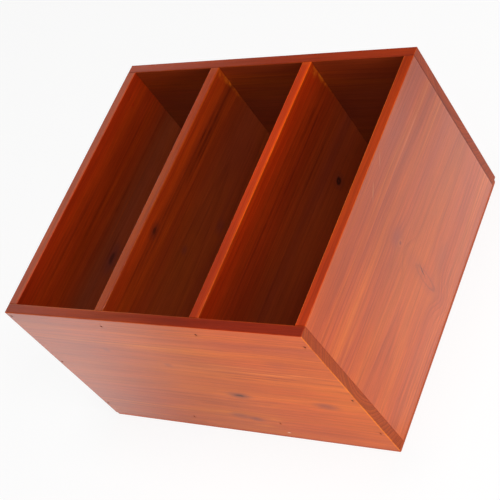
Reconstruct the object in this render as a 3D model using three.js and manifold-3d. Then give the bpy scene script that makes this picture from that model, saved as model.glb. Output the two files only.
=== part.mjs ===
// Open-topped box of nailed softwood boards with two fixed dividers.
// Millimetres, +Z up, origin at the middle of the underside.
// The front panel faces -Y; +X is to the right as seen from the front.
//
// Construction: the front and back panels run the full width and cover the
// ends of the two side panels and the two dividers (plain butt joints). A thin
// sheet is nailed under the frame. Every joint is held by brads whose heads
// are set slightly below the surface.

import * as THREE from 'three';
import { mergeVertices } from 'three/addons/utils/BufferGeometryUtils.js';
import Module from 'manifold-3d';

// ---------------------------------------------------------------- dimensions
const WIDTH = 400;            // outside, along X
const DEPTH = 358;            // outside, along Y
const HEIGHT = 232;           // outside, along Z
const BOARD = 12;             // thickness of every upright board
const SHEET = 4;              // thickness of the bottom sheet
const ARRIS = 0.8;            // chamfer that stands for a sanded edge
const SHEET_ARRIS = 0.4;      // chamfer on the thin sheet
const COMPARTMENTS = 3;

// radius of the four corners of the sheet, in plan
const SHEET_R_FRONT_LEFT = 3;
const SHEET_R_FRONT_RIGHT = 1.5;
const SHEET_R_BACK_RIGHT = 7;
const SHEET_R_BACK_LEFT = 4;

// brads: flat T-headed wire nails with a chisel point
const BRAD_CROWN = 2.4;       // long side of the head
const BRAD_SHANK = 1.25;      // width of the shank
const BRAD_THICK = 1.15;      // thickness of head and shank
const BRAD_HEAD = 0.7;        // height of the head
const BRAD_POINT = 1.8;       // length of the chisel point
const BRAD_LONG = 30;         // through the front and back panels
const BRAD_SHORT = 20;        // through the bottom sheet
const BRAD_SET = 0.5;         // depth of the head below the surface
const GAP = 0.3;              // clearance round each brad in the wood

// ---------------------------------------------------------------- derived
const halfW = WIDTH / 2;
const halfD = DEPTH / 2;
const wallHeight = HEIGHT - SHEET;
const wallMidZ = SHEET + wallHeight / 2;
const innerDepth = DEPTH - 2 * BOARD;
const slot = (WIDTH - (COMPARTMENTS + 1) * BOARD) / COMPARTMENTS;
const dividerX = halfW - BOARD - slot - BOARD / 2;   // centre of a divider
const sideX = halfW - BOARD / 2;                     // centre of a side panel
const panelY = halfD - BOARD / 2;                    // centre of front or back

// where each brad goes in, as [name, x, z, slant of the head in degrees]
const FRONT_BRADS = [
  ['left_top', -sideX - 0.5, 225, 81],
  ['left_middle', -sideX - 0.8, 126, 86],
  ['left_bottom', -sideX - 0.6, 29, 77],
  ['left_divider_top', -dividerX + 1.2, 219, 83],
  ['left_divider_bottom', -dividerX - 0.4, 22, 79],
  ['right_divider_top', dividerX - 0.3, 218, 76],
  ['right_divider_bottom', dividerX - 1.8, 33, 82],
  ['right_top', sideX - 0.4, 212, 74],
  ['right_middle', sideX + 0.8, 109, 84],
  ['right_bottom', sideX + 0.3, 40, 78],
];
const BACK_BRADS = [
  ['left_top', -sideX - 0.2, 214, -79],
  ['left_middle', -sideX - 0.6, 118, -84],
  ['left_bottom', -sideX + 0.3, 34, -82],
  ['left_divider_top', -dividerX - 0.8, 216, -76],
  ['left_divider_bottom', -dividerX + 0.9, 27, -83],
  ['right_divider_top', dividerX + 0.7, 220, -80],
  ['right_divider_bottom', dividerX - 0.5, 30, -87],
  ['right_top', sideX + 0.4, 219, -78],
  ['right_middle', sideX - 0.3, 112, -75],
  ['right_bottom', sideX + 0.5, 31, -81],
];
// brads of the bottom sheet, as [name, x, y, slant of the head in degrees]
const BOTTOM_BRADS = [
  ['front_left', -138, -panelY, 88],
  ['front_middle', 3, -panelY, 4],
  ['front_right', 141, -panelY, -3],
  ['back_left', -143, panelY, 2],
  ['back_middle', -2, panelY, -6],
  ['back_right', 137, panelY, 93],
  ['side_left_front', -sideX, -112, 1],
  ['side_left_middle', -sideX, 4, 86],
  ['side_left_back', -sideX, 109, 95],
  ['side_right_front', sideX, -107, 91],
  ['side_right_middle', sideX, -3, -4],
  ['side_right_back', sideX, 114, 90],
  ['divider_left_front', -dividerX, -82, 3],
  ['divider_left_back', -dividerX, 79, 92],
  ['divider_right_front', dividerX, -78, 87],
  ['divider_right_back', dividerX, 84, 2],
];

// ---------------------------------------------------------------- materials
const stain = (colour, roughness) => new THREE.MeshStandardMaterial({
  color: new THREE.Color(colour), roughness, metalness: 0 });
const panelWood = stain('#c2704a', 0.38);
const sideWood = stain('#c46f45', 0.38);
const dividerWood = stain('#a8501f', 0.4);
const sheetWood = stain('#a9532f', 0.5);
const bradSteel = new THREE.MeshStandardMaterial({
  color: new THREE.Color('#4a3128'), roughness: 0.5, metalness: 0.6 });

// ---------------------------------------------------------------- solids
const wasm = await Module();
wasm.setup();

const toSolid = (geometry) => {
  const bare = geometry.clone();
  bare.deleteAttribute('normal');
  bare.deleteAttribute('uv');
  const g = mergeVertices(bare, 1e-4);
  return new wasm.Manifold(new wasm.Mesh({
    numProp: 3,
    vertProperties: new Float32Array(g.attributes.position.array),
    triVerts: new Uint32Array(g.index.array),
  }));
};

const toGeometry = (solid) => {
  const m = solid.getMesh();
  const g = new THREE.BufferGeometry();
  g.setAttribute('position', new THREE.BufferAttribute(new Float32Array(m.vertProperties), 3));
  g.setIndex(new THREE.BufferAttribute(new Uint32Array(m.triVerts), 1));
  g.computeVertexNormals();
  return g;
};

// an outline extruded along Z with a chamfer on both faces, centred on z = 0
const chamferedExtrusion = (shape, thickness, arris) => {
  const g = new THREE.ExtrudeGeometry(shape, {
    depth: thickness - 2 * arris, bevelEnabled: true, bevelSegments: 1,
    bevelSize: arris, bevelThickness: arris, bevelOffset: -arris, curveSegments: 5,
  });
  g.translate(0, 0, -thickness / 2 + arris);
  return g;
};

const rectangle = (w, h) => {
  const s = new THREE.Shape();
  s.moveTo(-w / 2, -h / 2);
  s.lineTo(w / 2, -h / 2);
  s.lineTo(w / 2, h / 2);
  s.lineTo(-w / 2, h / 2);
  s.closePath();
  return s;
};

// a board of size x by y by z, whose thickness runs along the given axis
const board = (x, y, z, thicknessAxis) => {
  if (thicknessAxis === 'y') {
    return chamferedExtrusion(rectangle(x, z), y, ARRIS).rotateX(Math.PI / 2);
  }
  return chamferedExtrusion(rectangle(y, z), x, ARRIS).rotateX(Math.PI / 2).rotateZ(Math.PI / 2);
};

// T-shaped outline of a brad in its own XY plane: top of the head at y = 0,
// point at y = length; grow widens it all round to give the hole it sits in
const bradOutline = (length, grow, mouth) => {
  const c = BRAD_CROWN / 2 + grow;
  const s = BRAD_SHANK / 2 + grow;
  const shape = new THREE.Shape();
  shape.moveTo(-c, -mouth);
  shape.lineTo(c, -mouth);
  shape.lineTo(c, BRAD_HEAD + grow);
  shape.lineTo(s, BRAD_HEAD + grow + (c - s));
  shape.lineTo(s, length - BRAD_POINT);
  shape.lineTo(0.25 + grow, length + grow);
  shape.lineTo(-0.25 - grow, length + grow);
  shape.lineTo(-s, length - BRAD_POINT);
  shape.lineTo(-s, BRAD_HEAD + grow + (c - s));
  shape.lineTo(-c, BRAD_HEAD + grow);
  shape.closePath();
  return shape;
};

// a brad driven along +Z, top of the head at z = 0
const bradGeometry = (length, grow = 0, mouth = 0) => {
  const depth = BRAD_THICK + 2 * grow;
  const g = new THREE.ExtrudeGeometry(bradOutline(length, grow, mouth), {
    depth, bevelEnabled: false });
  g.translate(0, 0, -depth / 2);
  g.rotateX(Math.PI / 2);
  return g;
};

// ---------------------------------------------------------------- brads
// each brad: name, length, driving direction, position of its head
const brads = [];
for (const [name, x, z, slant] of FRONT_BRADS) {
  brads.push({ name: `front_brad_${name}`, length: BRAD_LONG, slant,
    at: [x, -halfD + BRAD_SET, z], drive: 'back' });
}
for (const [name, x, z, slant] of BACK_BRADS) {
  brads.push({ name: `back_brad_${name}`, length: BRAD_LONG, slant,
    at: [x, halfD - BRAD_SET, z], drive: 'front' });
}
for (const [name, x, y, slant] of BOTTOM_BRADS) {
  brads.push({ name: `bottom_brad_${name}`, length: BRAD_SHORT, slant,
    at: [x, y, BRAD_SET], drive: 'up' });
}

const driveRotation = { up: [0, 0, 0], back: [-Math.PI / 2, 0, 0], front: [Math.PI / 2, 0, 0] };
const bradMatrix = (b) => {
  const m = new THREE.Matrix4().makeTranslation(...b.at);
  m.multiply(new THREE.Matrix4().makeRotationFromEuler(new THREE.Euler(...driveRotation[b.drive])));
  m.multiply(new THREE.Matrix4().makeRotationZ(THREE.MathUtils.degToRad(b.slant)));
  return m;
};

// the holes of every brad, as solids in the object's own frame
const bradHoles = brads.map((b) => toSolid(
  bradGeometry(b.length, GAP, BRAD_SET + 1).applyMatrix4(bradMatrix(b))));

// ---------------------------------------------------------------- assembly
const object = new THREE.Group();
const frame = new THREE.Group();
const fasteners = new THREE.Group();
object.add(frame, fasteners);

const addBoard = (name, geometry, centre, material) => {
  const placed = geometry.clone().translate(...centre);
  placed.computeBoundingBox();
  let solid = toSolid(placed);
  for (const hole of bradHoles) solid = solid.subtract(hole);
  const cut = toGeometry(solid).translate(-centre[0], -centre[1], -centre[2]);
  const mesh = new THREE.Mesh(cut, material);
  mesh.name = name;
  mesh.position.set(...centre);
  frame.add(mesh);
};

addBoard('front_panel', board(WIDTH, BOARD, wallHeight, 'y'), [0, -panelY, wallMidZ], panelWood);
addBoard('back_panel', board(WIDTH, BOARD, wallHeight, 'y'), [0, panelY, wallMidZ], panelWood);
addBoard('left_side_panel', board(BOARD, innerDepth, wallHeight, 'x'), [-sideX, 0, wallMidZ], sideWood);
addBoard('right_side_panel', board(BOARD, innerDepth, wallHeight, 'x'), [sideX, 0, wallMidZ], sideWood);
addBoard('left_divider', board(BOARD, innerDepth, wallHeight, 'x'), [-dividerX, 0, wallMidZ], dividerWood);
addBoard('right_divider', board(BOARD, innerDepth, wallHeight, 'x'), [dividerX, 0, wallMidZ], dividerWood);

// the sheet's outline, counter-clockwise from its front left corner
const sheetOutline = new THREE.Shape();
const corner = (x, y, r, from) => {
  const cx = x - Math.sign(x) * r;
  const cy = y - Math.sign(y) * r;
  sheetOutline.absarc(cx, cy, r, from, from + Math.PI / 2, false);
};
corner(-halfW, -halfD, SHEET_R_FRONT_LEFT, Math.PI);
corner(halfW, -halfD, SHEET_R_FRONT_RIGHT, 1.5 * Math.PI);
corner(halfW, halfD, SHEET_R_BACK_RIGHT, 0);
corner(-halfW, halfD, SHEET_R_BACK_LEFT, 0.5 * Math.PI);
sheetOutline.closePath();
addBoard('bottom_sheet', chamferedExtrusion(sheetOutline, SHEET, SHEET_ARRIS),
  [0, 0, SHEET / 2], sheetWood);

for (const b of brads) {
  const mesh = new THREE.Mesh(bradGeometry(b.length), bradSteel);
  mesh.name = b.name;
  mesh.applyMatrix4(bradMatrix(b));
  fasteners.add(mesh);
}

export default object;
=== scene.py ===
import math

import bmesh
import bpy
from mathutils import Matrix, Vector, noise


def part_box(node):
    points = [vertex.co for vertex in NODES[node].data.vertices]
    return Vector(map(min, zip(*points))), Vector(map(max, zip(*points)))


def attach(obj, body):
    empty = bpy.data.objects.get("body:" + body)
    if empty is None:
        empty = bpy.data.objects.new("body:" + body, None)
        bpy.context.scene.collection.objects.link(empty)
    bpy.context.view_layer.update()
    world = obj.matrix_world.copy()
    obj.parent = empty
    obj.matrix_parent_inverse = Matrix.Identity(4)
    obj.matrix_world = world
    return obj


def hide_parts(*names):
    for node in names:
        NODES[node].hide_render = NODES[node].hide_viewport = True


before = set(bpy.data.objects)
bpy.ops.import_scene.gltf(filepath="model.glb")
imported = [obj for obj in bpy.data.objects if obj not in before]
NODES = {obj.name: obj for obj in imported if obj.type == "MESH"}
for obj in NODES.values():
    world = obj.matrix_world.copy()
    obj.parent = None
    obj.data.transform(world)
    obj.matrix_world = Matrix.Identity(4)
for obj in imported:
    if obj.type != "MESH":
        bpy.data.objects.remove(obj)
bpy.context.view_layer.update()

MM = 0.001

# ------------------------------------------------------------------ shader helper


class Graph:
    """Small helper that adds shader nodes and links them."""

    def __init__(self, material):
        material.use_nodes = True
        self.tree = material.node_tree
        self.tree.nodes.clear()

    def add(self, kind, **props):
        n = self.tree.nodes.new(kind)
        for k, v in props.items():
            setattr(n, k, v)
        return n

    def put(self, socket, value):
        if isinstance(value, bpy.types.NodeSocket):
            self.tree.links.new(value, socket)
        else:
            socket.default_value = value

    def math(self, op, a, b=0.0, c=0.0, clamp=False):
        n = self.add("ShaderNodeMath", operation=op, use_clamp=clamp)
        self.put(n.inputs[0], a)
        self.put(n.inputs[1], b)
        self.put(n.inputs[2], c)
        return n.outputs[0]

    def combine(self, x, y, z):
        n = self.add("ShaderNodeCombineXYZ")
        for s, v in zip(n.inputs, (x, y, z)):
            self.put(s, v)
        return n.outputs[0]

    def noise(self, vector, scale=1.0, detail=2.0, rough=0.5, distortion=0.0):
        n = self.add("ShaderNodeTexNoise", noise_dimensions="3D")
        self.put(n.inputs["Vector"], vector)
        n.inputs["Scale"].default_value = scale
        n.inputs["Detail"].default_value = detail
        n.inputs["Roughness"].default_value = rough
        n.inputs["Distortion"].default_value = distortion
        return n.outputs[0]

    def smooth(self, value, a, b, low=0.0, high=1.0):
        """low below a, high above b, smooth between."""
        n = self.add("ShaderNodeMapRange", interpolation_type="SMOOTHSTEP")
        self.put(n.inputs[0], value)
        for i, v in zip((1, 2, 3, 4), (a, b, low, high)):
            n.inputs[i].default_value = v
        return n.outputs[0]

    def remap(self, value, a, b, low=0.0, high=1.0):
        n = self.add("ShaderNodeMapRange", interpolation_type="LINEAR", clamp=True)
        self.put(n.inputs[0], value)
        for i, v in zip((1, 2, 3, 4), (a, b, low, high)):
            n.inputs[i].default_value = v
        return n.outputs[0]

    def ramp(self, value, stops):
        n = self.add("ShaderNodeValToRGB")
        n.color_ramp.interpolation = "B_SPLINE"
        e = n.color_ramp.elements
        while len(e) < len(stops):
            e.new(0.5)
        for item, (at, colour) in zip(e, stops):
            item.position = at
            item.color = (*colour, 1.0)
        self.put(n.inputs[0], value)
        return n.outputs[0]

    def mix(self, factor, a, b, mode="MIX"):
        n = self.add("ShaderNodeMix", data_type="RGBA", blend_type=mode)
        self.put(n.inputs[0], factor)
        for s, v in ((n.inputs[6], a), (n.inputs[7], b)):
            self.put(s, (*v, 1.0) if isinstance(v, tuple) and len(v) == 3 else v)
        return n.outputs[2]

    def gauss(self, x, x0, sx, y=None, y0=0.0, sy=1.0):
        """exp(-((x-x0)/sx)^2 - ((y-y0)/sy)^2)"""
        a = self.math("MULTIPLY_ADD", x, 1.0 / sx, -x0 / sx)
        a = self.math("MULTIPLY", a, a)
        if y is not None:
            b = self.math("MULTIPLY_ADD", y, 1.0 / sy, -y0 / sy)
            a = self.math("MULTIPLY_ADD", b, b, a)
        return self.math("EXPONENT", self.math("MULTIPLY", a, -1.0))


# ------------------------------------------------------------------ wood
# Colours are linear. The stain goes from a deep red brown to a golden orange.
DEEP = (0.300, 0.036, 0.005)
BROWN = (0.470, 0.070, 0.012)
ROSE = (0.535, 0.086, 0.018)
ORANGE = (0.600, 0.098, 0.010)
GOLD = (0.660, 0.130, 0.011)


def wood(name, along, wide, thick, seed, pith, spacing=2.9, palette=None, contrast=1.0,
         knots=(), bands=(), scratches=(), patches=(), runs=(), tone_and_shade_zones=(), inner_shade=None, end_dark=1.0, coats=()):
    """One board's wood. along, wide and thick are the row's axes (0, 1 or 2) that the grain, the width
    and the thickness run along. pith is where the heart of the tree lies, in mm, on (wide, thick).
    knots: (along, wide, half length, half width, strength, kind); bands: (wide, half width, from, to, colour, strength)."""
    material = bpy.data.materials.new(name)
    g = Graph(material)
    out = g.add("ShaderNodeOutputMaterial")
    bsdf = g.add("ShaderNodeBsdfPrincipled")
    g.tree.links.new(bsdf.outputs[0], out.inputs[0])

    coord = g.add("ShaderNodeTexCoord")
    scaled = g.add("ShaderNodeVectorMath", operation="SCALE")
    g.put(scaled.inputs[0], coord.outputs["Object"])
    scaled.inputs["Scale"].default_value = 1000.0
    split = g.add("ShaderNodeSeparateXYZ")
    g.put(split.inputs[0], scaled.outputs[0])
    l, w, t = (split.outputs[i] for i in (along, wide, thick))
    nsplit = g.add("ShaderNodeSeparateXYZ")
    g.put(nsplit.inputs[0], coord.outputs["Normal"])
    end = g.smooth(g.math("ABSOLUTE", nsplit.outputs[along]), 0.55, 0.9)

    def stretched(kl, kw, kt, shift):
        return g.combine(g.math("MULTIPLY_ADD", l, kl, shift + seed * 3.17),
                         g.math("MULTIPLY_ADD", w, kw, shift * 1.7 + seed),
                         g.math("MULTIPLY_ADD", t, kt, seed * 0.61 - shift))

    # the rings wander a little along the board
    wander = g.noise(stretched(0.0045, 0.012, 0.012, 1.3), 1.0, 2.0, 0.5)
    ripple = g.noise(stretched(0.014, 0.05, 0.05, 5.1), 1.0, 2.0, 0.5)
    w1 = g.math("MULTIPLY_ADD", wander, 13.0, w)
    w1 = g.math("ADD", w1, -6.5)
    w1 = g.math("MULTIPLY_ADD", ripple, 3.0, w1)
    w1 = g.math("ADD", w1, -1.5)
    flow = w1
    # and flow round the knots
    for (kl, kw, a, b, strength, kind) in knots:
        k = g.gauss(l, kl, a * 3.4, w, kw, b * 2.4)
        pull = g.math("MULTIPLY", g.math("ADD", flow, -kw), k)
        flow = g.math("MULTIPLY_ADD", pull, -0.62 * min(1.0, strength + 0.2), flow)
    dw = g.math("ADD", flow, -pith[0])
    dt = g.math("ADD", t, -pith[1])
    taper = g.math("MULTIPLY", l, 0.010)
    r = g.math("SQRT", g.math("MULTIPLY_ADD", dw, dw, g.math("MULTIPLY", dt, dt)))
    r = g.math("ADD", r, taper)
    years = g.noise(g.combine(g.math("MULTIPLY", r, 0.07), seed * 1.1, 0.4), 1.0, 2.0, 0.6)
    phase = g.math("MULTIPLY_ADD", years, 5.0, g.math("MULTIPLY", r, 1.0 / spacing))
    saw = g.math("FRACT", phase)
    late = g.math("MULTIPLY", g.math("POWER", saw, 3.2), g.smooth(saw, 1.0, 0.90))
    # rings show more in some places than in others
    show = g.noise(stretched(0.006, 0.03, 0.03, 9.7), 1.0, 2.0, 0.5)
    late = g.math("MULTIPLY", late, g.remap(show, 0.32, 0.68, 0.35, 1.0))

    # broad colour: slow bands along the grain
    slow = g.noise(g.combine(g.math("MULTIPLY_ADD", l, 0.0022, seed), g.math("MULTIPLY", r, 0.075), seed * 0.3), 1.0, 4.0, 0.62)
    streak = g.noise(stretched(0.008, 0.42, 0.42, 15.3), 1.0, 2.0, 0.6)
    streaky = g.remap(streak, 0.36, 0.60, 0.45, 1.0)
    palette = palette or ((0.25, BROWN), (0.42, ROSE), (0.56, ORANGE), (0.72, GOLD))
    colour = g.ramp(slow, palette)
    for (bw, half, lo, hi, tint, strength) in bands:
        m = g.math("MULTIPLY", g.gauss(flow, bw, half), streaky)
        if lo is not None:
            m = g.math("MULTIPLY", m, g.smooth(l, lo[0], lo[1]))
        if hi is not None:
            m = g.math("MULTIPLY", m, g.smooth(l, hi[1], hi[0]))
        colour = g.mix(g.math("MULTIPLY", m, strength), colour, tint)

    # late wood lines take more stain
    colour = g.mix(g.math("MULTIPLY", late, 0.46 * contrast), colour, (0.250, 0.030, 0.007))
    # fibres
    fibre = g.noise(stretched(0.030, 1.35, 1.35, 2.9), 1.0, 3.0, 0.65)
    fine = g.noise(stretched(0.11, 4.5, 4.5, 7.7), 1.0, 2.0, 0.6)
    light = g.remap(fibre, 0.28, 0.72, 0.87, 1.12)
    light = g.math("MULTIPLY", light, g.remap(streak, 0.32, 0.68, 0.90, 1.09))
    light = g.math("MULTIPLY", light, g.remap(fine, 0.25, 0.75, 0.93, 1.07))
    # the stain lies a little thicker in places
    blotch = g.noise(stretched(0.011, 0.026, 0.026, 4.4), 1.0, 3.0, 0.55)
    light = g.math("MULTIPLY", light, g.remap(blotch, 0.3, 0.7, 0.94, 1.06))
    # dark pore streaks: short, thin
    pore = g.noise(stretched(0.05, 2.2, 2.2, 12.2), 1.0, 2.0, 0.7)
    light = g.math("MULTIPLY", light, g.smooth(pore, 0.70, 0.60, 0.80, 1.0))
    grey = g.combine(light, light, light)
    colour = g.mix(1.0, colour, grey, "MULTIPLY")

    # knots
    crack = None
    for i, (kl, kw, a, b, strength, kind) in enumerate(knots):
        wob = g.noise(stretched(0.10, 0.16, 0.16, 20.0 + i * 3.3), 1.0, 2.0, 0.6)
        da = g.math("MULTIPLY_ADD", l, 1.0 / a, -kl / a)
        db = g.math("MULTIPLY_ADD", w, 1.0 / b, -kw / b)
        e = g.math("SQRT", g.math("MULTIPLY_ADD", da, da, g.math("MULTIPLY", db, db)))
        rag = 0.3 if kind == "spike" else 0.75
        e = g.math("MULTIPLY_ADD", wob, rag, e)
        e = g.math("ADD", e, -rag / 2)
        if kind == "dark":        # a small black knot with a pale edge in a smoky halo
            colour = g.mix(g.smooth(e, 2.9, 0.8, 0.0, 0.40 * strength), colour, (0.225, 0.045, 0.018))
            colour = g.mix(g.math("MULTIPLY", g.gauss(e, 1.35, 0.22), 0.50 * strength), colour, (0.520, 0.092, 0.016))
            colour = g.mix(g.smooth(e, 1.15, 0.62, 0.0, 0.85 * strength), colour, (0.066, 0.018, 0.007))
            colour = g.mix(g.smooth(e, 0.46, 0.12, 0.0, 0.65), colour, (0.300, 0.050, 0.014))
        elif kind == "smudge":    # a knot just under the surface
            colour = g.mix(g.smooth(e, 2.4, 0.1, 0.0, 0.60 * strength), colour, (0.225, 0.052, 0.040))
        elif kind == "core":      # the same with a dark heart
            colour = g.mix(g.smooth(e, 2.4, 0.2, 0.0, 0.58 * strength), colour, (0.235, 0.052, 0.032))
            colour = g.mix(g.smooth(e, 0.85, 0.25, 0.0, 0.55 * strength), colour, (0.100, 0.026, 0.012))
        elif kind == "pin":       # a tiny round knot under a rosy cloud
            cloud = g.gauss(l, kl + 1.0, 12.0, w, kw + 9.0, 11.0)
            colour = g.mix(g.math("MULTIPLY", cloud, 0.45 * strength), colour, (0.360, 0.066, 0.040))
            colour = g.mix(g.math("MULTIPLY", g.gauss(e, 1.25, 0.45), 0.30 * strength), colour, (0.640, 0.140, 0.030))
            colour = g.mix(g.smooth(e, 0.95, 0.35, 0.0, 0.55 * strength), colour, (0.270, 0.050, 0.024))
        elif kind == "spike":     # a knot sawn at a slant: a spindle with a thin dark crack at its head
            ring = g.math("MULTIPLY", g.gauss(e, 1.0, 0.16), g.smooth(w, kw - b * 1.2, kw + b * 0.4, 1.0, 0.55))
            colour = g.mix(g.smooth(e, 3.2, 1.0, 0.0, 0.22 * strength), colour, (0.420, 0.070, 0.034))
            colour = g.mix(g.math("MULTIPLY", ring, 0.40 * strength), colour, (0.230, 0.042, 0.022))
            lean = g.math("MULTIPLY_ADD", w, 0.30, -kw * 0.30)
            da2 = g.math("SUBTRACT", g.math("ADD", l, -kl + 0.5), lean)
            da2 = g.math("MULTIPLY_ADD", wob, 3.0, g.math("ADD", da2, -1.5))
            c = g.gauss(da2, 0.0, 0.60, w, kw + b * 0.45, b * 0.32)
            colour = g.mix(g.math("MULTIPLY", c, 0.90 * strength, clamp=True), colour, (0.070, 0.016, 0.010))
            crack = c
    for i, (pl, pw, half_l, half_w, tint, strength) in enumerate(patches):
        wob = g.noise(stretched(0.05, 0.09, 0.09, 50.0 + i * 2.7), 1.0, 2.0, 0.6)
        m = g.gauss(l, pl, half_l, w, pw, half_w)
        m = g.math("MULTIPLY", m, g.remap(wob, 0.30, 0.62, 0.35, 1.0))
        colour = g.mix(g.math("MULTIPLY", m, strength), colour, tint)
    # end grain takes more stain, and the rings show in it
    pores = g.noise(stretched(0.9, 0.9, 0.9, 31.0), 1.0, 3.0, 0.7)
    end_colour = g.mix(g.remap(pores, 0.35, 0.65, 0.0, 1.0), (0.290, 0.031, 0.006), (0.425, 0.060, 0.010))
    end_colour = g.mix(g.math("MULTIPLY", g.math("POWER", saw, 2.0), 0.88), end_colour, (0.165, 0.022, 0.007))
    end_colour = g.mix(0.20, end_colour, colour)
    colour = g.mix(g.math("MULTIPLY", end, 0.92 * end_dark), colour, end_colour)

    # the arrises are rubbed through to paler wood in places, and the same pale colour paints a highlight line along the
    # edges
    wear_and_highlight = g.add("ShaderNodeAttribute", attribute_name="arris").outputs["Fac"]
    rub = g.noise(stretched(0.05, 0.05, 0.05, 41.0), 1.0, 3.0, 0.6)
    worn_and_highlit = g.math("MULTIPLY", wear_and_highlight, g.smooth(rub, 0.34, 0.58, 0.25, 0.85))
    colour = g.mix(worn_and_highlit, colour, (0.740, 0.170, 0.016))
    # the walls of the brad holes are darkened, most where they are deepest
    pit = g.add("ShaderNodeAttribute", attribute_name="pit").outputs["Fac"]
    colour = g.mix(g.math("MULTIPLY", pit, 0.9), colour, (0.050, 0.014, 0.008))

    for (sl, sw, half, thin, slope, strength) in scratches:
        off = g.math("SUBTRACT", w, g.math("MULTIPLY_ADD", l, slope, sw - sl * slope))
        m = g.gauss(l, sl, half, off, 0.0, thin)
        colour = g.mix(g.math("MULTIPLY", m, strength), colour, (0.800, 0.270, 0.110))
        m2 = g.gauss(l, sl, half, off, -thin * 2.0, thin)
        colour = g.mix(g.math("MULTIPLY", m2, strength * 0.7), colour, (0.240, 0.036, 0.012))

    if inner_shade is not None:        # painted shade: the inner faces are tinted darker, to match how dark they look in the shade inside the box
        axis, lo, hi = inner_shade
        m = g.smooth(split.outputs[axis], lo, hi)
        colour = g.mix(m, colour, g.mix(1.0, colour, (0.90, 0.60, 0.45), "MULTIPLY"))
    # painted light and shade: smooth tints fitted to the shading seen from one view. They darken and redden the rims
    # and inner walls as painted shade, lighten the inner edges of the rims as painted highlights, add a paler painted
    # sheen to parts of the outer faces, and also adjust the boards' own tone
    for zone in tone_and_shade_zones:
        axis, lo, hi, tint = zone[:4]
        m = g.smooth(split.outputs[axis], lo, hi)
        if len(zone) > 4:
            m = g.math("MULTIPLY", m, g.smooth(split.outputs[zone[4]], zone[5], zone[6]))
        colour = g.mix(m, colour, g.mix(1.0, colour, tint, "MULTIPLY"))

    for i, (pl, pw, half_l, half_w, tint, strength) in enumerate(runs):
        wob = g.noise(stretched(0.12, 0.16, 0.16, 70.0 + i * 2.7), 1.0, 2.0, 0.6)
        m = g.gauss(l, pl, half_l, w, pw, half_w)
        m = g.math("MULTIPLY", m, g.remap(wob, 0.40, 0.60, 0.15, 1.0))
        colour = g.mix(g.math("MULTIPLY", m, strength), colour, tint)

    g.put(bsdf.inputs["Base Color"], colour)
    # varnish: satin, rougher in places, and rougher and thinner on the end grain
    rough = g.remap(fibre, 0.25, 0.75, 0.40, 0.52)
    rough = g.math("MULTIPLY_ADD", blotch, 0.10, rough)
    rough = g.math("MULTIPLY_ADD", end, 0.10, rough)
    g.put(bsdf.inputs["Roughness"], rough)
    bsdf.inputs["IOR"].default_value = 1.48
    bsdf.inputs["Specular IOR Level"].default_value = 0.14
    coat = g.remap(end, 0.0, 1.0, 0.95, 0.20)
    for zone in coats:            # areas with less varnish sheen, fitted to how little haze they show
        m = g.smooth(split.outputs[zone[0]], zone[1], zone[2])
        if len(zone) > 4:
            m = g.math("MULTIPLY", m, g.smooth(split.outputs[zone[4]], zone[5], zone[6]))
        coat = g.math("MULTIPLY", coat, g.math("MULTIPLY_ADD", m, zone[3] - 1.0, 1.0))
    g.put(bsdf.inputs["Coat Weight"], coat)
    bsdf.inputs["Coat Roughness"].default_value = 0.22
    bsdf.inputs["Coat IOR"].default_value = 1.48
    # relief: rings and fibres telegraph through the finish
    height = g.math("MULTIPLY_ADD", late, -0.10, g.math("MULTIPLY", fibre, 0.16))
    height = g.math("MULTIPLY_ADD", fine, 0.05, height)
    if crack is not None:
        height = g.math("MULTIPLY_ADD", crack, -0.5, height)
    bump = g.add("ShaderNodeBump")
    bump.inputs["Strength"].default_value = 0.55
    bump.inputs["Distance"].default_value = 0.0006
    g.put(bump.inputs["Height"], height)
    g.put(bsdf.inputs["Normal"], bump.outputs[0])
    g.put(bsdf.inputs["Coat Normal"], bump.outputs[0])
    return material


# ------------------------------------------------------------------ boards


def lines(lo, hi, step):
    """Grid lines along one side of a board, in mm: close together by the arrises."""
    near = [0.0, 0.1, 0.22, 0.38, 0.58, 0.8, 1.05, 1.5]
    inner = [v for v in near if v < (hi - lo) / 2 - 0.5]
    a, b = lo + inner[-1], hi - inner[-1]
    n = max(1, round((b - a) / step))
    middle = [a + (b - a) * i / n for i in range(1, n)]
    return [lo + v for v in inner] + middle + [hi - v for v in reversed(inner)]


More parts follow.
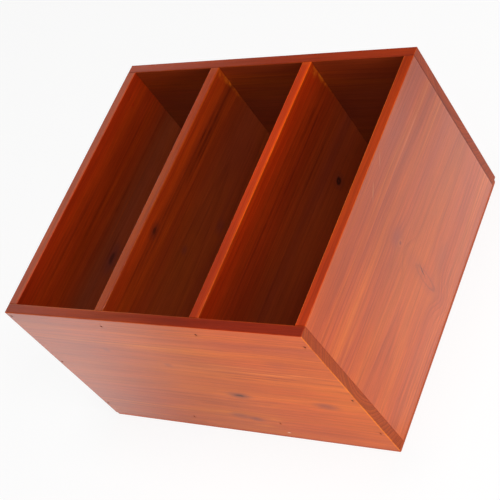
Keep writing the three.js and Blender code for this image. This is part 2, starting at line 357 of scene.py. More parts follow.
def board(name, lo, hi, radii, seed, default=0.22, step=6.0, holes=None, bow=0.0):
    """A board from corner lo to corner hi, in mm. radii gives the rounding of an edge between two faces,
    such as {('x-', 'z+'): 1.0}; the rounding varies along the edge, as on a sanded board."""
    grid = [lines(lo[i], hi[i], step) for i in range(3)]
    bm = bmesh.new()
    index = {}

    def vert(i, j, k):
        key = (i, j, k)
        if key not in index:
            index[key] = bm.verts.new((grid[0][i], grid[1][j], grid[2][k]))
        return index[key]

    n = [len(g) for g in grid]
    for a, b, c in ((0, 1, 2), (1, 2, 0), (2, 0, 1)):
        for side in (0, n[c] - 1):
            for i in range(n[a] - 1):
                for j in range(n[b] - 1):
                    quad = []
                    for di, dj in ((0, 0), (1, 0), (1, 1), (0, 1)):
                        key = [0, 0, 0]
                        key[a], key[b], key[c] = i + di, j + dj, side
                        quad.append(vert(*key))
                    if side == 0:
                        quad.reverse()
                    bm.faces.new(quad)
    arris = bm.verts.layers.float.new("arris")
    faces = ("x", "y", "z")
    for v in bm.verts:
        p = Vector(v.co)
        q = Vector(p)
        most = 0.0
        for a, b in ((0, 1), (1, 2), (0, 2)):
            c = 3 - a - b
            sa = -1 if p[a] - lo[a] < hi[a] - p[a] else 1
            sb = -1 if p[b] - lo[b] < hi[b] - p[b] else 1
            key = (faces[a] + ("-" if sa < 0 else "+"), faces[b] + ("-" if sb < 0 else "+"))
            base = radii.get(key, radii.get((key[1], key[0]), default))
            at = Vector((p[c] * 0.021 + seed, sa * 3.1 + seed * 0.7, sb * 5.3 + c))
            fine_at = Vector((p[c] * 0.13 + seed, sa * 2.1, sb * 4.3 + c))
            radius = base * (1.0 + 0.22 * noise.noise(at) + 0.12 * noise.noise(fine_at))
            radius = min(radius, 1.45)
            ea = lo[a] if sa < 0 else hi[a]
            eb = lo[b] if sb < 0 else hi[b]
            qa = radius - abs(q[a] - ea)
            qb = radius - abs(q[b] - eb)
            if qa > 0 and qb > 0:
                d = math.hypot(qa, qb)
                if d > radius:
                    q[a] = ea - sa * (radius - qa * radius / d)
                    q[b] = eb - sb * (radius - qb * radius / d)
                if base > 0.3:
                    most = max(most, min(1.0, 1.35 * min(qa, qb) / radius))
        # planer waves and a slight cup, inwards only
        wave = 0.045 * (1.0 + noise.noise(Vector((p[0] * 0.012, p[1] * 0.012, p[2] * 0.012 + seed))))
        for a in range(3):
            if hi[a] - lo[a] < 20:
                middle = (lo[a] + hi[a]) / 2
                q[a] += math.copysign(wave, middle - q[a]) if abs(q[a] - middle) > 1 else 0.0
        v.co = q
        v[arris] = most
    for v in bm.verts:
        v.co *= MM
    bmesh.ops.recalc_face_normals(bm, faces=bm.faces)
    mesh = bpy.data.meshes.new(name)
    bm.to_mesh(mesh)
    bm.free()
    obj = bpy.data.objects.new(name, mesh)
    bpy.context.scene.collection.objects.link(obj)
    return obj


# ------------------------------------------------------------------ brads
CROWN, SHANK, THICK, HEAD, SET = 2.4, 1.25, 1.15, 0.7, 0.5


def brad_axis(node):
    """Where a brad's head is and which way it was driven, from its CAD solid, in mm."""
    lo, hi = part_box(node)
    lo, hi = lo / MM, hi / MM
    size = hi - lo
    axis = max(range(3), key=lambda i: size[i])
    centre = (lo + hi) / 2
    head_low = axis == 2 or centre[1] < 0
    head = Vector(centre)
    head[axis] = lo[axis] if head_low else hi[axis]
    drive = Vector((0, 0, 0))
    drive[axis] = 1.0 if head_low else -1.0
    # the head's long side, from the solid's own outermost points
    verts = [Vector(v.co) / MM for v in NODES[node].data.vertices]
    top = [p for p in verts if abs(p[axis] - head[axis]) < 0.05]
    best = max(((p - q) for p in top for q in top), key=lambda d: d.length)
    edges = sorted({round((p - q).length, 3) for p in top for q in top if (p - q).length > 0.01})
    long_side = None
    for p in top:
        for q in top:
            d = p - q
            if abs(d.length - CROWN) < 0.06:
                long_side = d.normalized()
    if long_side is None:
        long_side = best.normalized()
    return head, drive, long_side, size[axis]


def hole_cutter(bm, head, drive, across, length):
    """A stepped prism: a pocket for the head, narrowing to the shank."""
    other = drive.cross(across).normalized()
    grow = 0.34
    steps = ((-SET - 1.0, CROWN / 2 + grow + 0.25, THICK / 2 + grow + 0.18),
             (-SET + 0.12, CROWN / 2 + grow + 0.12, THICK / 2 + grow + 0.08),
             (HEAD + 0.3, CROWN / 2 + grow * 0.75, THICK / 2 + grow * 0.75),
             (HEAD + 1.2, SHANK / 2 + 0.3, THICK / 2 + 0.3),
             (length + 0.3, SHANK / 2 + 0.28, THICK / 2 + 0.28))
    rings = []
    for depth, a, b in steps:
        ring = []
        for k in range(12):
            u = math.cos(math.tau * (k + 0.5) / 12)
            s = math.sin(math.tau * (k + 0.5) / 12)
            u = math.copysign(abs(u) ** 0.55, u) * a
            s = math.copysign(abs(s) ** 0.55, s) * b
            ring.append(bm.verts.new((head + drive * depth + across * u + other * s) * MM))
        rings.append(ring)
    for r1, r2 in zip(rings, rings[1:]):
        for k in range(12):
            bm.faces.new((r1[k], r1[(k + 1) % 12], r2[(k + 1) % 12], r2[k]))
    bm.faces.new(list(reversed(rings[0])))
    bm.faces.new(rings[-1])


BRADS = {n: brad_axis(n) for n in sorted(NODES) if "_brad_" in n}


def cut_holes(obj, lo, hi):
    """Cuts the holes of every brad that enters the board."""
    bm = bmesh.new()
    found = []
    for n, (head, drive, across, length) in BRADS.items():
        tip = head + drive * length
        a = [min(head[i], tip[i]) for i in range(3)]
        b = [max(head[i], tip[i]) for i in range(3)]
        if all(b[i] > lo[i] + 0.05 and a[i] < hi[i] - 0.05 for i in range(3)):
            hole_cutter(bm, head, drive, across, length)
            found.append(n)
    if not found:
        bm.free()
        return
    bmesh.ops.recalc_face_normals(bm, faces=bm.faces)
    mesh = bpy.data.meshes.new("cutters")
    bm.to_mesh(mesh)
    bm.free()
    tool = bpy.data.objects.new("cutters", mesh)
    bpy.context.scene.collection.objects.link(tool)
    m = obj.modifiers.new("holes", "BOOLEAN")
    m.operation, m.solver, m.object = "DIFFERENCE", "EXACT", tool
    dg = bpy.context.evaluated_depsgraph_get()
    cut = bpy.data.meshes.new_from_object(obj.evaluated_get(dg))
    obj.modifiers.clear()
    old = obj.data
    obj.data = cut
    bpy.data.meshes.remove(old)
    bpy.data.objects.remove(tool)
    bpy.data.meshes.remove(mesh)
    # mark the walls of the holes
    values = [0.0] * len(cut.vertices)
    for i, v in enumerate(cut.vertices):
        p = Vector(v.co) / MM
        for n in found:
            head, drive, across, length = BRADS[n]
            d = p - head
            depth = d.dot(drive)
            side = (d - drive * depth).length
            if side < 2.3 and -SET - 0.05 < depth < length + 1 and side > 0:
                inset = depth + SET
                if inset > 0.25:
                    values[i] = max(values[i], min(1.0, inset / 0.5))
                elif side < 2.1:
                    values[i] = max(values[i], 0.12)
    layer = cut.attributes.new("pit", "FLOAT", "POINT")
    layer.data.foreach_set("value", values)


def finish_mesh(obj, material, slot, *nodes):
    mesh = obj.data
    if "pit" not in mesh.attributes:
        mesh.attributes.new("pit", "FLOAT", "POINT")
    mesh.shade_smooth()
    mesh.set_sharp_from_angle(angle=math.radians(38))
    mesh.materials.clear()
    mesh.materials.append(material)
    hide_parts(*nodes)
    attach(obj, "root")
    return obj


# ------------------------------------------------------------------ the object
OUTER, RIM, END = 1.0, 0.8, 0.8


def mm(node):
    lo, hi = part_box(node)
    return [v / MM for v in lo], [v / MM for v in hi]


TOP = (2, 231.0, 231.7)
DARK = (0.190, 0.026, 0.006)
LIT = (0.760, 0.130, 0.012)
spec = {
    # the front panel: knots low down on the right, rift lines across the middle
    "front_panel": dict(
        radii={("y-", "z+"): OUTER, ("x-", "y-"): OUTER, ("x+", "y-"): OUTER, ("y+", "z+"): RIM,
               ("x-", "z+"): END, ("x+", "z+"): END, ("y-", "z-"): 0.35},
        slot="panel_wood",
        wood=dict(along=0, wide=2, thick=1, seed=1.7, pith=(112, -120), spacing=4.2,
                  knots=[(42, 91, 10.0, 4.2, 1.35, "core"), (153, 89, 10.0, 4.4, 1.05, "smudge"),
                         (13, 41, 9.0, 4.0, 0.85, "smudge"), (33, 37, 6.5, 3.4, 1.05, "smudge"),
                         (-21, 146, 4.0, 2.6, 0.65, "smudge"), (-95, 167, 3.6, 3.0, 0.6, "smudge"),
                         (136, 168, 9.0, 5.0, 0.30, "smudge")],
                  patches=[(60, 41, 10, 3.5, (0.70, 0.150, 0.012), 0.6), (38, 22, 16, 3.0, (0.68, 0.140, 0.012), 0.5),
                           (84, 74, 30, 5, (0.66, 0.125, 0.012), 0.5), (105, 50, 40, 6, (0.46, 0.072, 0.022), 0.4),
                           (63, 12, 1.8, 0.9, (0.85, 0.55, 0.42), 0.9), (150, 150, 14, 1.0, (0.80, 0.200, 0.040), 0.6),
                           (120, 141, 34, 1.0, (0.26, 0.036, 0.010), 0.8), (96, 136, 46, 0.9, (0.28, 0.040, 0.010), 0.8),
                           (110, 146, 40, 1.0, (0.78, 0.190, 0.030), 0.7), (60, 131, 46, 1.0, (0.30, 0.042, 0.010), 0.7),
                           (140, 153, 40, 0.8, (0.28, 0.040, 0.010), 0.6), (90, 156, 44, 0.9, (0.78, 0.190, 0.030), 0.5),
                           (-60, 186, 60, 1.1, (0.30, 0.042, 0.012), 0.5), (-90, 121, 60, 1.1, (0.32, 0.046, 0.014), 0.45),
                           (-20, 176, 50, 0.9, (0.30, 0.042, 0.012), 0.5), (150, 32, 40, 0.9, (0.34, 0.048, 0.012), 0.5)],
                  bands=[(198, 8, (-60, 120), None, (0.430, 0.074, 0.030), 0.40),
                         (181, 9, (-200, 60), None, GOLD, 0.40),
                         (146, 13, (-120, 60), None, (0.560, 0.120, 0.016), 0.45),
                         (112, 12, None, None, ORANGE, 0.5),
                         (64, 20, (-180, 40), None, (0.580, 0.090, 0.012), 0.45),
                         (12, 10, None, None, (0.460, 0.076, 0.016), 0.30)],
                  tone_and_shade_zones=[(0, 60, -190, (0.76, 0.80, 1.0)), (0, -120, -20, (1.04, 1.24, 1.22)), (0, 20, 110, (1.02, 0.88, 0.84)), (2, 203, 216, (0.86, 0.80, 0.88), 0, 90, 10), (*TOP, (1.02, 0.70, 0.40)), (*TOP, (0.60, 0.32, 0.3), 0, -130, 60), (*TOP, (1.1, 1.12, 1.0), 0, 80, -20),
                         (*TOP, (1.35, 2.2, 1.5), 1, -168.7, -167.7), (0, 120, 185, (1.06, 1.10, 1.0), 2, 160, 110),
                         (1, -169, -166, (0.90, 0.60, 0.45))],
                  coats=[(*TOP, 0.40, 0, -110, 60), (0, 0, 110, 0.90)])),
    "back_panel": dict(
        radii={("y+", "z+"): 0.45, ("x-", "y+"): OUTER, ("x+", "y+"): 0.6, ("y-", "z+"): RIM,
               ("x-", "z+"): END, ("x+", "z+"): END, ("y+", "z-"): 0.35},
        slot="panel_wood",
        wood=dict(along=0, wide=2, thick=1, seed=6.3, pith=(150, 250), spacing=4.6, contrast=0.9,
                  knots=[(-120, 70, 7, 5, 0.9, "dark"), (60, 150, 6, 4.5, 0.8, "smudge"), (120, 58, 3, 2.6, 0.8, "pin")],
                  inner_shade=(1, 170, 166),
                  tone_and_shade_zones=[(1, 170, 166, (0.62, 0.72, 0.9)), (2, 225, 170, (0.90, 1.2, 2.2), 1, 170, 166), (*TOP, (0.90, 0.62, 0.45)), (*TOP, (1.04, 0.86, 0.8), 0, -60, 60)])),
    "left_side_panel": dict(
        radii={("x-", "z+"): 0.45, ("x+", "z+"): RIM, ("x-", "z-"): 0.35},
        slot="side_wood",
        wood=dict(along=1, wide=2, thick=0, seed=11.9, pith=(140, -262), spacing=5.2,
                  knots=[(-39, 133, 14, 5.0, 1.15, "core"), (-30, 60, 8, 5, 0.8, "dark"), (90, 105, 3, 2.6, 0.9, "pin")],
                  patches=[(40, 210, 30, 9, (0.66, 0.110, 0.010), 0.5), (133, 212, 1.6, 1.4, (0.55, 0.02, 0.01), 0.8),
                           (-20, 186, 70, 2.0, DARK, 0.5), (40, 178, 90, 1.4, DARK, 0.45),
                           (-40, 204, 90, 1.3, DARK, 0.3), (30, 160, 90, 2.2, DARK, 0.5), (0, 150, 90, 1.2, LIT, 0.4),
                           (-30, 140, 60, 1.2, DARK, 0.5)],
                  bands=[(148, 16, None, None, (0.300, 0.085, 0.030), 0.6)],
                  inner_shade=(0, -191, -187),
                  tone_and_shade_zones=[(2, 200, 228, (1.04, 0.72, 0.4), 0, -191, -187), (2, 200, 150, (0.90, 1.35, 2.6), 0, -191, -187),
                         (2, 125, 165, (1.0, 0.66, 0.35), 0, -191, -187), (*TOP, (1.0, 0.84, 0.7)), (*TOP, (1.14, 1.40, 0.8), 0, -192.2, -190.4)])),
    "right_side_panel": dict(
        radii={("x+", "z+"): OUTER, ("x-", "z+"): RIM, ("x+", "z-"): 0.35},
        slot="side_wood",
        wood=dict(along=1, wide=2, thick=0, seed=16.2, pith=(92, 285), spacing=4.4,
                  knots=[(-5, 135, 2.8, 2.6, 1.3, "pin"), (-5, 69, 5.0, 23, 1.1, "spike"), (34, 52, 16, 6, 0.3, "smudge")],
                  patches=[(100, 190, 60, 1.2, (0.70, 0.190, 0.070), 0.45), (-120, 168, 50, 2.4, (0.70, 0.160, 0.020), 0.5),
                           (-135, 155, 40, 1.6, (0.70, 0.160, 0.020), 0.5), (-60, 121, 80, 1.6, (0.38, 0.052, 0.016), 0.4),
                           (60, 160, 70, 1.6, (0.42, 0.060, 0.020), 0.4)],
                  bands=[(214, 15, None, None, (0.430, 0.066, 0.018), 0.55),
                         (214, 13, (20, 90), None, (0.400, 0.076, 0.046), 0.50),
                         (170, 11, (-190, -150), (-60, 30), GOLD, 0.45),
                         (132, 12, (-100, -20), None, (0.450, 0.078, 0.034), 0.35),
                         (98, 10, None, None, (0.580, 0.100, 0.020), 0.40),
                         (60, 12, (-20, 40), None, (0.470, 0.082, 0.030), 0.30),
                         (22, 14, None, None, (0.640, 0.135, 0.030), 0.45)],
                  scratches=[(4, 209.5, 5.0, 0.55, 0.75, 0.80), (39, 219.5, 5.0, 0.55, 0.75, 0.80), (10, 213, 3.4, 0.4, 0.75, 0.55)],
                  inner_shade=(0, 191, 187),
                  tone_and_shade_zones=[(1, -500, -499, (1.05, 1.00, 0.96)), (2, 45, 110, (0.90, 0.91, 0.90), 1, -110, -10),
                         (0, 189.7, 188.9, (1.30, 1.90, 1.2), 2, 229.4, 230.4), (2, 130, 205, (0.87, 0.83, 0.84), 1, 90, 170), (1, -100, -165, (1.05, 1.03, 0.90)),
                         (*TOP, (0.96, 0.46, 0.24)), (*TOP, (1.16, 1.34, 1.0), 1, -110, -10), (*TOP, (1.10, 1.30, 1.0), 0, 191.0, 189.0)],
                  coats=[(1, -500, -499, 0.91), (*TOP, 0.38), (2, 120, 205, 0.68, 1, 60, 160), (1, -60, -160, 0.84)])),
    "left_divider": dict(
        radii={("x-", "z+"): 0.6, ("x+", "z+"): 0.95},
        slot="divider_wood",
        wood=dict(along=1, wide=2, thick=0, seed=21.4, pith=(150, -190), spacing=4.0, contrast=1.2,
                  knots=[(-51, 213, 7.0, 4.2, 1.3, "core"), (20, 120, 7, 4.5, 0.6, "smudge"), (-39, 158, 4, 3, 0.6, "smudge")],
                  patches=[(80, 208, 55, 1.5, DARK, 0.9), (85, 201.5, 62, 1.8, DARK, 0.95), (80, 197, 60, 1.1, DARK, 0.75),
                           (15, 205, 60, 1.3, DARK, 0.65), (-50, 209.5, 60, 1.2, DARK, 0.6), (-90, 203, 50, 1.0, DARK, 0.5),
                           (60, 190, 80, 0.8, DARK, 0.45), (-20, 182, 90, 0.9, DARK, 0.4), (60, 193.5, 60, 0.8, LIT, 0.55),
                           (95, 204.5, 40, 0.7, LIT, 0.6), (30, 211, 60, 0.8, LIT, 0.5), (-60, 206, 50, 0.8, LIT, 0.5),
                           (-110, 213, 50, 1.2, DARK, 0.5), (0, 150, 120, 1.2, DARK, 0.35), (40, 168, 90, 1.0, LIT, 0.3)],
                  runs=[(165.2, 205, 2.2, 22, (0.92, 0.210, 0.012), 1.0), (162, 224, 3.2, 5, (0.86, 0.170, 0.010), 0.9),
                        (163.5, 212, 2.6, 3.5, (0.90, 0.190, 0.012), 0.9)],
                  bands=[(201, 5, (20, 110), None, (0.230, 0.036, 0.010), 0.75),
                         (209, 4, (-150, -60), (60, 140), (0.300, 0.046, 0.012), 0.5)],
                  inner_shade=(2, 231.4, 229),
                  tone_and_shade_zones=[(2, 200, 228, (1.02, 0.78, 0.5)), (2, 205, 150, (0.84, 1.20, 2.4)), (*TOP, (0.80, 0.86, 0.9)), (*TOP, (1.10, 0.86, 0.5), 1, -20, 120),
                         (*TOP, (0.92, 0.72, 0.6), 0, -61.5, -59.6), (*TOP, (1.16, 1.16, 1.0), 0, -68.4, -70.0)],
                  coats=[(*TOP, 0.75, 1, -20, 120)])),
    "right_divider": dict(
        radii={("x-", "z+"): 0.6, ("x+", "z+"): 0.95},
        slot="divider_wood",
        wood=dict(along=1, wide=2, thick=0, seed=27.8, pith=(90, 200), spacing=4.8,
                  knots=[(95, 108.5, 5.0, 5.4, 1.12, "dark"), (-70, 60, 6, 4, 0.7, "smudge")],
                  palette=((0.25, ROSE), (0.42, ORANGE), (0.56, ORANGE), (0.72, GOLD)),
                  patches=[(20, 206, 90, 1.2, DARK, 0.45), (-40, 194, 100, 1.4, DARK, 0.5), (60, 186, 90, 1.1, DARK, 0.5),
                           (0, 172, 120, 1.3, DARK, 0.45), (70, 158, 90, 1.4, DARK, 0.5), (-60, 146, 90, 1.3, DARK, 0.4),
                           (60, 130, 90, 1.2, DARK, 0.45), (10, 199, 80, 0.9, LIT, 0.4), (50, 164, 80, 0.9, LIT, 0.35),
                           (110, 196, 30, 2.6, DARK, 0.55), (120, 187, 26, 1.5, DARK, 0.5)],
                  runs=[(165.2, 208, 2.2, 20, (0.94, 0.210, 0.012), 1.0), (160, 222, 4.0, 5, (0.88, 0.170, 0.010), 0.9),
                        (163.5, 206, 2.8, 4, (0.88, 0.180, 0.010), 0.9)],
                  inner_shade=(2, 231.4, 229),
                  tone_and_shade_zones=[(2, 200, 228, (1.15, 0.80, 0.4)), (2, 205, 150, (0.80, 1.10, 2.6)), (2, 130, 170, (1.0, 0.80, 0.75)), (1, -30, -120, (0.88, 0.90, 1.0)),
                         (*TOP, (0.92, 0.72, 0.28)), (*TOP, (1.26, 1.30, 1.0), 1, -110, 60), (*TOP, (1.22, 1.50, 1.0), 0, 66.6, 69.4),
                         (*TOP, (1.16, 1.25, 1.0), 0, 60.8, 59.6)],
                  coats=[(*TOP, 0.35)])),
}

for i, (node, s) in enumerate(spec.items()):
    lo, hi = mm(node)
    lo, hi = [round(v, 3) for v in lo], [round(v, 3) for v in hi]
    obj = board(node + "_board", lo, hi, s["radii"], seed=i * 7.3 + 2.0)
    cut_holes(obj, lo, hi)
    finish_mesh(obj, wood(node + "_wood", **s["wood"]), s["slot"], node)


# ------------------------------------------------------------------ the bottom sheet


def sheet_piece():
    lo, hi = mm("bottom_sheet")
    corner = {(-1, -1): 3.0, (1, -1): 1.5, (1, 1): 7.0, (-1, 1): 4.0}
    outline = []
    for (sx, sy), start in (((-1, -1), 180), ((1, -1), 270), ((1, 1), 0), ((-1, 1), 90)):
        r = corner[(sx, sy)]
        cx = (lo[0] + r) if sx < 0 else (hi[0] - r)
        cy = (lo[1] + r) if sy < 0 else (hi[1] - r)
        for k in range(7):
            a = math.radians(start + 90 * k / 6)
            outline.append((cx + r * math.cos(a), cy + r * math.sin(a), math.cos(a), math.sin(a)))
    # fill the long straight runs so that the edge can waver
    full = []
    for k, p in enumerate(outline):
        q = outline[(k + 1) % len(outline)]
        full.append(p)
        gap = math.hypot(q[0] - p[0], q[1] - p[1])
        if gap > 20:
            n = round(gap / 8)
            for i in range(1, n):
                u = i / n
                full.append((p[0] + (q[0] - p[0]) * u, p[1] + (q[1] - p[1]) * u, p[2] if abs(p[2]) > 0.7 or abs(p[3]) > 0.7 else q[2], p[3]))
    bm = bmesh.new()
    arris = bm.verts.layers.float.new("arris")
    z0, z1 = lo[2], hi[2]
    # each ring: inset, height, and how much of the pale arris colour (wear and painted highlight) it takes
    profile = ((0.55, z0, 0.4), (0.22, z0 + 0.14, 1.0), (0.05, z0 + 0.42, 0.6), (0.0, z0 + 1.1, 0.0),
               (0.04, z0 + 2.0, 0.0), (0.0, z1 - 1.0, 0.0), (0.05, z1 - 0.34, 0.4), (0.30, z1 - 0.03, 0.2))
    rings = []
    for inset, z, wear_and_highlight in profile:
        ring = []
        for k, (x, y, nx, ny) in enumerate(full):
            wob = 0.06 * (1 + noise.noise(Vector((x * 0.05, y * 0.05, z * 0.9))))
            v = bm.verts.new(((x - nx * (inset + wob)) * MM, (y - ny * (inset + wob)) * MM, z * MM))
            v[arris] = wear_and_highlight * 0.8
            ring.append(v)
        rings.append(ring)
    n = len(full)
    for a, b in zip(rings, rings[1:]):
        for k in range(n):
            bm.faces.new((a[k], a[(k + 1) % n], b[(k + 1) % n], b[k]))
    bm.faces.new(list(reversed(rings[0])))
    bm.faces.new(rings[-1])
    bmesh.ops.recalc_face_normals(bm, faces=bm.faces)
    bmesh.ops.triangulate(bm, faces=[f for f in bm.faces if len(f.verts) > 4])
    mesh = bpy.data.meshes.new("bottom_sheet_ply")
    bm.to_mesh(mesh)
    bm.free()
    obj = bpy.data.objects.new("bottom_sheet_ply", mesh)
    bpy.context.scene.collection.objects.link(obj)
    cut_holes(obj, lo, hi)
    return obj


def ply():
    """Thin stained plywood: long grain on both faces, plies along the edge."""
    material = wood("bottom_sheet_wood", along=0, wide=1, thick=2, seed=33.1, pith=(40, -260), spacing=4.6,
                    contrast=0.8, end_dark=0.0,
                    palette=((0.25, BROWN), (0.42, ROSE), (0.56, ORANGE), (0.72, ORANGE)))
    tree = material.node_tree
    g = Graph.__new__(Graph)
    g.tree = tree
    bsdf = next(n for n in tree.nodes if n.type == "BSDF_PRINCIPLED")
    link = bsdf.inputs["Base Color"].links[0].from_socket
    coord = g.add("ShaderNodeTexCoord")
    nsplit = g.add("ShaderNodeSeparateXYZ")
    g.put(nsplit.inputs[0], coord.outputs["Normal"])
    psplit = g.add("ShaderNodeSeparateXYZ")
    g.put(psplit.inputs[0], coord.outputs["Object"])
    edge = g.smooth(g.math("ABSOLUTE", nsplit.outputs[2]), 0.7, 0.3)
    ply_at = g.math("MULTIPLY_ADD", psplit.outputs[2], 750.0, g.math("MULTIPLY", g.noise(coord.outputs["Object"], 60.0, 2.0), 0.25))
    core = g.smooth(g.math("ABSOLUTE", g.math("ADD", g.math("FRACT", g.math("MULTIPLY", ply_at, 0.5)), -0.5)), 0.20, 0.28)
    speck = g.noise(g.combine(g.math("MULTIPLY", psplit.outputs[0], 700.0), g.math("MULTIPLY", psplit.outputs[1], 700.0),
                              g.math("MULTIPLY", psplit.outputs[2], 1500.0)), 1.0, 2.0, 0.6)
    plies = g.mix(core, (0.560, 0.098, 0.020), (0.430, 0.066, 0.014))
    plies = g.mix(g.remap(speck, 0.4, 0.7, 0.0, 0.35), plies, (0.300, 0.042, 0.012))
    g.put(bsdf.inputs["Base Color"], g.mix(edge, link, plies))
    return material


finish_mesh(sheet_piece(), ply(), "sheet_wood", "bottom_sheet")

# ------------------------------------------------------------------ brads


def brad_material():
    material = bpy.data.materials.new("brad_wire")
    g = Graph(material)
    out = g.add("ShaderNodeOutputMaterial")
    bsdf = g.add("ShaderNodeBsdfPrincipled")
    g.tree.links.new(bsdf.outputs[0], out.inputs[0])
    coord = g.add("ShaderNodeTexCoord")
    grime = g.noise(coord.outputs["Object"], 900.0, 3.0, 0.6)
    rub = g.noise(coord.outputs["Object"], 2600.0, 2.0, 0.5)
    colour = g.ramp(grime, ((0.30, (0.045, 0.030, 0.024)), (0.50, (0.085, 0.040, 0.026)), (0.70, (0.160, 0.120, 0.100))))
    colour = g.mix(g.remap(rub, 0.5, 0.7, 0.0, 0.5), colour, (0.13, 0.03, 0.012))
    g.put(bsdf.inputs["Base Color"], colour)
    bsdf.inputs["Metallic"].default_value = 0.7
    g.put(bsdf.inputs["Roughness"], g.remap(grime, 0.3, 0.7, 0.62, 0.38))
    return material


wire = brad_material()
for n in BRADS:
    o = NODES[n]
    o.data.materials.clear()
    o.data.materials.append(wire)
    m = o.modifiers.new("soft_edges", "BEVEL")
    m.width, m.segments, m.limit_method, m.angle_limit = 0.00012, 2, "ANGLE", math.radians(40)
    m.harden_normals = False

# ------------------------------------------------------------------ floor, light, camera
floor_mesh = bpy.data.meshes.new("floor")
bm = bmesh.new()
bmesh.ops.create_circle(bm, cap_ends=True, segments=96, radius=9.0)
bm.to_mesh(floor_mesh)
bm.free()
floor = bpy.data.objects.new("floor", floor_mesh)
floor.location = (0, 0, -0.0004)
bpy.context.scene.collection.objects.link(floor)
fm = bpy.data.materials.new("pale_floor")
g = Graph(fm)
out = g.add("ShaderNodeOutputMaterial")
fb = g.add("ShaderNodeBsdfPrincipled")
g.tree.links.new(fb.outputs[0], out.inputs[0])
fb.inputs["Base Color"].default_value = (0.16, 0.16, 0.16, 1)
fb.inputs["Roughness"].default_value = 0.9
fb.inputs["Specular IOR Level"].default_value = 0.0
fb.inputs["Emission Color"].default_value = (1, 1, 1, 1)
fb.inputs["Emission Strength"].default_value = 0.88
floor.data.materials.append(fm)
floor.visible_glossy = False

world = bpy.data.worlds.new("studio")
bpy.context.scene.world = world
world.use_nodes = True
bg = world.node_tree.nodes["Background"]
bg.inputs[0].default_value = (1.0, 0.985, 0.97, 1)
bg.inputs[1].default_value = 0.15
world.cycles_visibility.glossy = False
world.cycles_visibility.camera = True

# a pale backdrop all round, so that the background stays plain from any angle
bm = bmesh.new()
bmesh.ops.create_uvsphere(bm, u_segments=48, v_segments=24, radius=14.0)
bmesh.ops.reverse_faces(bm, faces=bm.faces)
backdrop_mesh = bpy.data.meshes.new("backdrop")
bm.to_mesh(backdrop_mesh)
bm.free()
backdrop = bpy.data.objects.new("backdrop", backdrop_mesh)
bpy.context.scene.collection.objects.link(backdrop)
bd = bpy.data.materials.new("pale_backdrop")
g = Graph(bd)
out = g.add("ShaderNodeOutputMaterial")
em = g.add("ShaderNodeEmission")
g.tree.links.new(em.outputs[0], out.inputs[0])
em.inputs[0].default_value = (0.97, 0.97, 0.97, 1)
em.inputs[1].default_value = 1.0
backdrop.data.materials.append(bd)
backdrop.visible_diffuse = backdrop.visible_glossy = False
backdrop.visible_transmission = backdrop.visible_volume_scatter = backdrop.visible_shadow = False


def area(name, at, to, size, power, colour=(1, 1, 1), size_y=None, diffuse=True, glossy=True):
    light = bpy.data.lights.new(name, "AREA")
    light.shape = "RECTANGLE"
    light.size, light.size_y = size, size_y or size
    light.energy = power
    light.color = colour
    obj = bpy.data.objects.new(name, light)
    obj.location = at
    obj.rotation_mode = "QUATERNION"
    obj.rotation_quaternion = (Vector(to) - Vector(at)).to_track_quat("-Z", "Y")
    obj.visible_camera = False
    obj.visible_diffuse = diffuse
    obj.visible_glossy = glossy
    bpy.context.scene.collection.objects.link(obj)
    return obj


area("key_front", (0.6, -1.3, 0.20), (0.0, -0.1, 0.10), 0.9, 11.8, size_y=0.40)
area("key_right", (1.9, 0.30, 0.72), (0.0, 0.0, 0.15), 0.8, 3.6, size_y=0.5)
area("fill", (1.25, -0.35, 1.70), (0, 0, 0.1), 0.6, 9.8)
area("overhead", (0.0, 0.1, 1.75), (0, 0, 0.1), 0.5, 7.0)


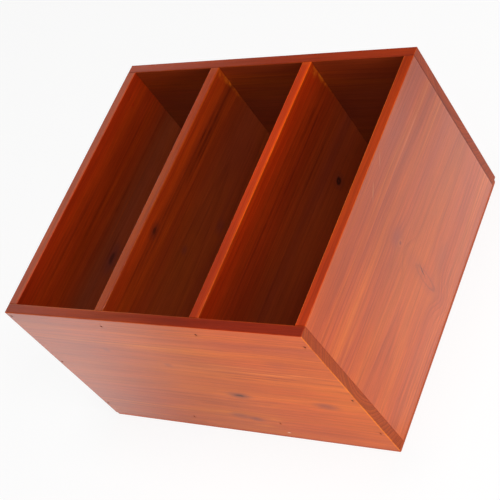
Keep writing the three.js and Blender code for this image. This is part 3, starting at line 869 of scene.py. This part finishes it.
def sheen_sheet():
    """A sheet round the foot of the box that only the varnish sees: bright on the left and by the right side."""
    bm = bmesh.new()
    xs, ys = (-1.2, -0.2005, 0.2005, 1.1), (-1.1, -0.1795, 0.1795, 1.1)
    for i in range(3):
        for j in range(3):
            if i == j == 1:
                continue
            bm.faces.new([bm.verts.new((x, y, 0.0)) for x, y in
                          ((xs[i], ys[j]), (xs[i + 1], ys[j]), (xs[i + 1], ys[j + 1]), (xs[i], ys[j + 1]))])
    bmesh.ops.remove_doubles(bm, verts=bm.verts, dist=1e-5)
    mesh = bpy.data.meshes.new("sheen_sheet")
    bm.to_mesh(mesh)
    bm.free()
    obj = bpy.data.objects.new("sheen_sheet", mesh)
    obj.location = (0, 0, -0.0002)
    bpy.context.scene.collection.objects.link(obj)
    mat = bpy.data.materials.new("sheen_glow")
    g = Graph(mat)
    out = g.add("ShaderNodeOutputMaterial")
    glow = g.add("ShaderNodeEmission")
    g.tree.links.new(glow.outputs[0], out.inputs[0])
    at = g.add("ShaderNodeSeparateXYZ")
    g.put(at.inputs[0], g.add("ShaderNodeTexCoord").outputs["Object"])
    x, y = at.outputs[0], at.outputs[1]
    across = g.math("MULTIPLY_ADD", y, -0.7, g.math("ADD", x, -0.14))
    front = g.math("MULTIPLY", g.smooth(across, -0.31, -0.06, 1.10, 0.28), g.smooth(x, 0.0, 0.3, 1.0, 0.82))
    side = g.math("MULTIPLY_ADD", x, -3.3, g.math("MULTIPLY_ADD", y, 1.3, 1.80))
    side = g.math("MINIMUM", g.math("MAXIMUM", side, 0.15), 1.35)
    side = g.math("MULTIPLY", side, g.smooth(x, 0.0, 0.15, 0.3, 1.0))
    which = g.smooth(y, -0.13, -0.19)
    level = g.math("ADD", g.math("MULTIPLY", front, which), g.math("MULTIPLY", side, g.math("SUBTRACT", 1.0, which)))
    g.put(glow.inputs["Strength"], level)
    mesh.materials.append(mat)
    obj.visible_camera = obj.visible_diffuse = obj.visible_shadow = False
    obj.visible_transmission = obj.visible_volume_scatter = False


sheen_sheet()
area("sheen_rim", (-1.6, 0.7, 1.10), (0, 0.7, 1.10), 2.2, 5.2, size_y=0.85, diffuse=False)

cam_data = bpy.data.cameras.new("camera")
cam_data.sensor_width = 36.0
cam_data.lens = 1375.735 * 36.0 / 500.0
cam_data.clip_start, cam_data.clip_end = 0.05, 50
camera = bpy.data.objects.new("camera", cam_data)
right = Vector((0.80077, 0.35813, -0.4801))
up = Vector((-0.03001, 0.82454, 0.56501))
back = Vector((0.59821, -0.43804, 0.67102))
m = Matrix((right, up, back)).transposed().to_4x4()
m.translation = Vector((0.93035, -0.69329, 1.16539))
camera.matrix_world = m
bpy.context.scene.collection.objects.link(camera)
bpy.context.scene.camera = camera

bpy.context.scene.view_settings.view_transform = "Standard"
bpy.context.scene.view_settings.look = "None"
